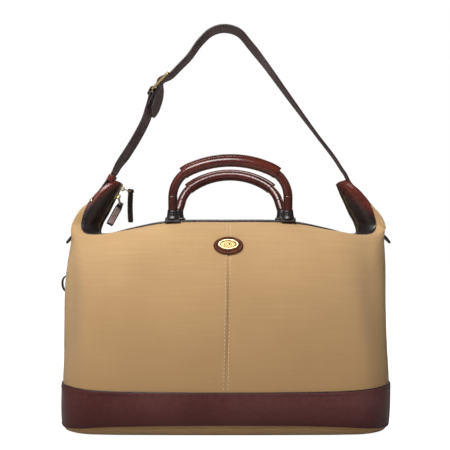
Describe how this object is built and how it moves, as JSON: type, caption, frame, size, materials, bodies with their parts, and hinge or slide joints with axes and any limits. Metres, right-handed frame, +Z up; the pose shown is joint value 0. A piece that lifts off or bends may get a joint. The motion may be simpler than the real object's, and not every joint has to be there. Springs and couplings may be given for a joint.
{
  "type": "canvas holdall bag",
  "caption": "Canvas holdall with leather band and trim, two rolled handles that fold down, a zip between raised ears and a buckled shoulder strap.",
  "frame": {"origin": "on the floor under the middle of the base", "axes": "+Z up, +Y towards the back, +X to the right seen from the front"},
  "size_m": [0.5141, 0.2366, 0.6389],
  "materials": {
    "canvas": "tan cotton canvas",
    "lining_cloth": "plain brown lining cloth",
    "board": "fibre stiffening board",
    "band_leather": "satin dark oxblood leather",
    "trim_leather": "glossy red brown leather",
    "handle_leather": "polished red brown leather",
    "strap_leather": "dark brown leather",
    "rope_core": "twisted cotton rope",
    "zip_tape": "woven dark zip tape",
    "zip_metal": "brass teeth and sliders",
    "brass": "polished brass"
  },
  "bodies": {
    "bag": {"canvas_front_left": "canvas", "canvas_front_right": "canvas", "canvas_back_left": "canvas", "canvas_back_right": "canvas", "gusset_left": "canvas", "gusset_right": "canvas", "bottom_panel": "canvas", "base_board": "board", "lining": "lining_cloth", "band_front": "band_leather", "band_back": "band_leather", "band_left": "band_leather", "band_right": "band_leather", "top_facing_front": "trim_leather", "top_facing_back": "trim_leather", "zip_chain_front": "zip_metal", "zip_chain_back": "zip_metal", "zip_tape_front": "zip_tape", "zip_tape_back": "zip_tape", "handle_patches": "trim_leather", "handle_rivets": "brass", "badge_leather": "trim_leather", "badge_medallion": "brass", "feet": "brass", "strap_anchor_left": "strap_leather", "strap_anchor_right": "strap_leather", "strap_keeper": "trim_leather", "side_loop": "trim_leather", "ear_rivets": "brass"},
    "front_handle": {"front_handle_core": "rope_core", "front_handle_roll": "handle_leather", "front_handle_grip": "handle_leather", "front_handle_wraps": "trim_leather"},
    "back_handle": {"back_handle_core": "rope_core", "back_handle_roll": "handle_leather", "back_handle_grip": "handle_leather", "back_handle_wraps": "trim_leather"},
    "shoulder_strap": {"strap_long": "strap_leather", "strap_short": "strap_leather", "buckle_frame": "brass"},
    "buckle_tongue": {"buckle_tongue": "brass"},
    "zip_slider_upper": {"zip_slider_upper": "zip_metal"},
    "pull_ring_upper": {"pull_ring_upper": "brass"},
    "pull_tab_upper": {"pull_tab_upper": "trim_leather"},
    "zip_slider_lower": {"zip_slider_lower": "zip_metal"},
    "pull_ring_lower": {"pull_ring_lower": "brass"},
    "pull_tab_lower": {"pull_tab_lower": "trim_leather"}
  },
  "joints": [
    {"name": "front_handle_swing", "type": "hinge", "parent": "bag", "child": "front_handle", "pos_m": [0.0085, -0.03, 0.3395], "axis": [1, 0, 0], "range_deg": [-22, 76]},
    {"name": "back_handle_swing", "type": "hinge", "parent": "bag", "child": "back_handle", "pos_m": [0.0085, 0.03, 0.3395], "axis": [1, 0, 0], "range_deg": [-56, 42]},
    {"name": "shoulder_strap_swing", "type": "hinge", "parent": "bag", "child": "shoulder_strap", "pos_m": [0, 0, 0.411], "axis": [1, 0, 0], "range_deg": [-90, 90]},
    {"name": "buckle_tongue_lift", "type": "hinge", "parent": "shoulder_strap", "child": "buckle_tongue", "pos_m": [-0.1159, 0, 0.53771], "axis": [0, -1, 0], "range_deg": [0, 60]},
    {"name": "upper_slider_slide", "type": "slide", "parent": "bag", "child": "zip_slider_upper", "axis": [-0.4789, 0, -0.8779], "range_m": [0, 0.0015]},
    {"name": "lower_slider_slide", "type": "slide", "parent": "bag", "child": "zip_slider_lower", "axis": [-0.4789, 0, -0.8779], "range_m": [0, 0.009]},
    {"name": "upper_ring_swing", "type": "hinge", "parent": "zip_slider_upper", "child": "pull_ring_upper", "pos_m": [-0.16572, 0, 0.37845], "axis": [0, 1, 0], "range_deg": [-30, 8]},
    {"name": "upper_tab_swing", "type": "hinge", "parent": "pull_ring_upper", "child": "pull_tab_upper", "pos_m": [-0.15241, 0, 0.3741], "axis": [0, 1, 0], "range_deg": [-40, 4]},
    {"name": "lower_ring_swing", "type": "hinge", "parent": "zip_slider_lower", "child": "pull_ring_lower", "pos_m": [-0.17242, 0, 0.36616], "axis": [0, 1, 0], "range_deg": [-5, 0]},
    {"name": "lower_tab_swing", "type": "hinge", "parent": "pull_ring_lower", "child": "pull_tab_lower", "pos_m": [-0.16934, 0, 0.3525], "axis": [0, 1, 0], "range_deg": [-14, 0]}
  ]
}
